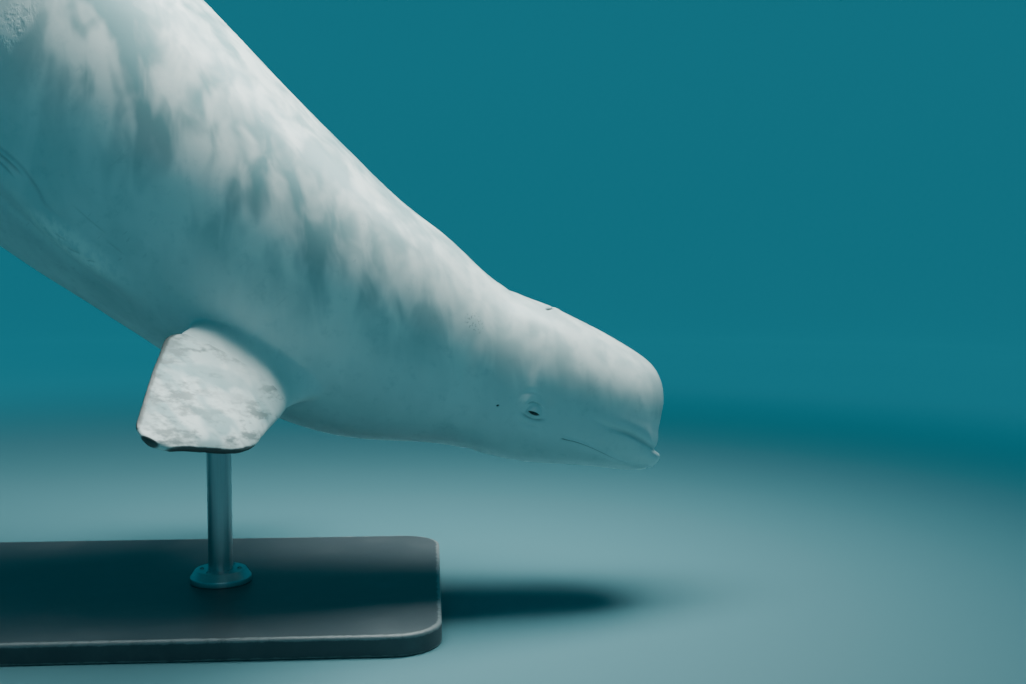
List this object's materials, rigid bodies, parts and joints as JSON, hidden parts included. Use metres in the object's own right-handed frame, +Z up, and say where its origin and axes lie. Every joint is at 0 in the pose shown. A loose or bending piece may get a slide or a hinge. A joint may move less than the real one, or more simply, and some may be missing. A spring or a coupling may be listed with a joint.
{
  "type": "beluga whale model",
  "caption": "Life-size still model of an adult beluga whale diving nose down, whole with flippers and flukes, on a plain flat base with rods.",
  "frame": {"origin": "middle of the stand base's underside, on the floor", "axes": "+X towards the head, +Y towards the whale's left side, +Z up; the whale is mirror-symmetric about the XZ plane"},
  "size_m": [3.3887, 1.4584, 2.1852],
  "materials": {
    "skin": "smooth wet skin, off-white with faint cool grey mottling",
    "eye": "glossy, near black",
    "base_paint": "satin dark grey paint on board",
    "rod_steel": "fine brushed"
  },
  "bodies": {
    "root": {"head": "skin", "melon": "skin", "lower_jaw": "skin", "neck": "skin", "chest": "skin", "trunk": "skin", "loin": "skin", "dorsal_ridge": "skin", "tail_stock": "skin", "fluke_left": "skin", "fluke_right": "skin", "flipper_left": "skin", "flipper_right": "skin", "eye_left": "eye", "eye_right": "eye", "stand_base": "base_paint", "stand_rod_front": "rod_steel", "stand_rod_rear": "rod_steel", "stand_socket_front": "rod_steel", "stand_socket_rear": "rod_steel"}
  },
  "joints": []
}
